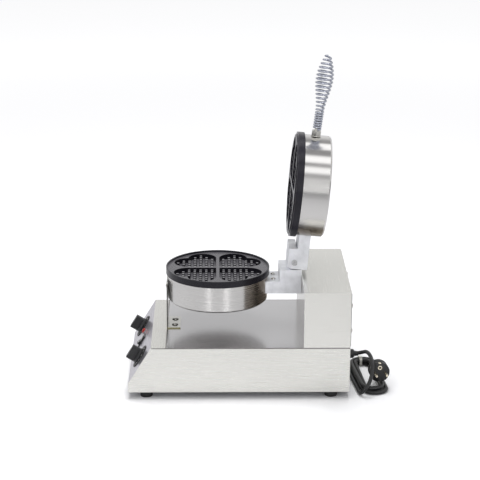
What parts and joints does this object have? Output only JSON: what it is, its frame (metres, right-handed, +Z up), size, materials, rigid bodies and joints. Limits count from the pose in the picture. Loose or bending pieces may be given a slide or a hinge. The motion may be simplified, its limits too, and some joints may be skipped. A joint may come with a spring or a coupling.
{
  "type": "heart waffle maker",
  "caption": "Countertop waffle maker with heart-shaped cavities: sloping control base, lower iron on a cast arm and a hinged upper iron with a coil-spring handle, shown open.",
  "frame": {"origin": "on the table, under the middle of the base", "axes": "+X to the right as seen from the front, -Y towards the front with the control panel, +Z up"},
  "size_m": [0.26, 0.4809, 0.6024],
  "materials": {
    "stainless": "brushed stainless sheet",
    "stainless_housing": "brushed stainless sheet with a polished front",
    "stainless_cover": "brushed stainless sheet",
    "stainless_bracket": "brushed stainless sheet",
    "galvanised": "galvanised sheet",
    "drawn_steel": "circular brushed, deep drawn",
    "coated_iron": "dark non-stick coating",
    "cast_aluminium": "sand cast, blasted",
    "zinc_screw": "zinc plated",
    "pin_steel": "turned steel",
    "spring_chrome": "bright chromed wire",
    "element": "heat-tinted",
    "mineral_board": "mineral board",
    "copper": "copper bulb",
    "foot_rubber": "moulded rubber",
    "dial_black": "black with white marks",
    "knob_black": "moulded",
    "control_case": "moulded case",
    "switch_black": "moulded",
    "bezel_chrome": "chromed collar",
    "lamp_red": "red lens",
    "terminal_white": "moulded",
    "gland_black": "moulded",
    "cord_black": "rubber sheath",
    "tie_white": "plastic tie",
    "plug_black": "moulded rubber",
    "nickel": "nickel plated"
  },
  "bodies": {
    "machine": {"base_shell": "stainless", "bottom_plate": "galvanised", "feet": "foot_rubber", "foot_screws": "zinc_screw", "rear_housing": "stainless_housing", "rear_cover": "stainless_cover", "cover_screws": "zinc_screw", "hinge_plate": "galvanised", "arm_bolts": "zinc_screw", "front_bracket": "stainless_bracket", "bracket_screws": "zinc_screw", "lower_arm": "cast_aluminium", "arm_screws": "zinc_screw", "lower_shell": "drawn_steel", "lower_plate": "coated_iron", "lower_heater": "element", "lower_insulation": "mineral_board", "lower_clamp": "galvanised", "thermostat_probe": "copper", "timer_dial": "dial_black", "thermostat_dial": "dial_black", "timer_body": "control_case", "thermostat_body": "control_case", "switch_body": "switch_black", "lamp_bezel": "bezel_chrome", "lamp_lens": "lamp_red", "terminal_block": "terminal_white", "cable_gland": "gland_black", "cord_lead": "cord_black", "cord_hank": "cord_black", "cord_tail": "cord_black", "cord_tie": "tie_white", "plug_body": "plug_black", "plug_pins": "nickel", "plug_earth_ring": "nickel"},
    "lid": {"upper_arm": "cast_aluminium", "hinge_pin": "pin_steel", "pin_nut": "pin_steel", "lid_shell": "drawn_steel", "lid_plate": "coated_iron", "lid_heater": "element", "lid_insulation": "mineral_board", "lid_clamp": "galvanised", "lid_arm_bolts": "zinc_screw", "handle_nut": "zinc_screw", "handle_stud": "zinc_screw", "handle_coil": "spring_chrome"},
    "thermostat": {"thermostat_knob": "knob_black", "thermostat_shaft": "pin_steel"},
    "timer": {"timer_knob": "knob_black", "timer_shaft": "pin_steel"},
    "rocker": {"switch_rocker": "switch_black"}
  },
  "joints": [
    {"name": "lid_hinge", "type": "hinge", "parent": "machine", "child": "lid", "pos_m": [0, 0.1019, 0.2246], "axis": [1, 0, 0], "range_deg": [0, 95]},
    {"name": "thermostat_turn", "type": "hinge", "parent": "machine", "child": "thermostat", "pos_m": [0.079, -0.1792, 0.06144], "axis": [0, -0.8536, 0.5209], "range_deg": [-270, 0]},
    {"name": "timer_turn", "type": "hinge", "parent": "machine", "child": "timer", "pos_m": [-0.079, -0.1792, 0.06144], "axis": [0, -0.8536, 0.5209], "range_deg": [-300, 0]},
    {"name": "rocker_tip", "type": "hinge", "parent": "machine", "child": "rocker", "pos_m": [0, -0.1792, 0.06144], "axis": [1, 0, 0], "range_deg": [0, 20]}
  ]
}
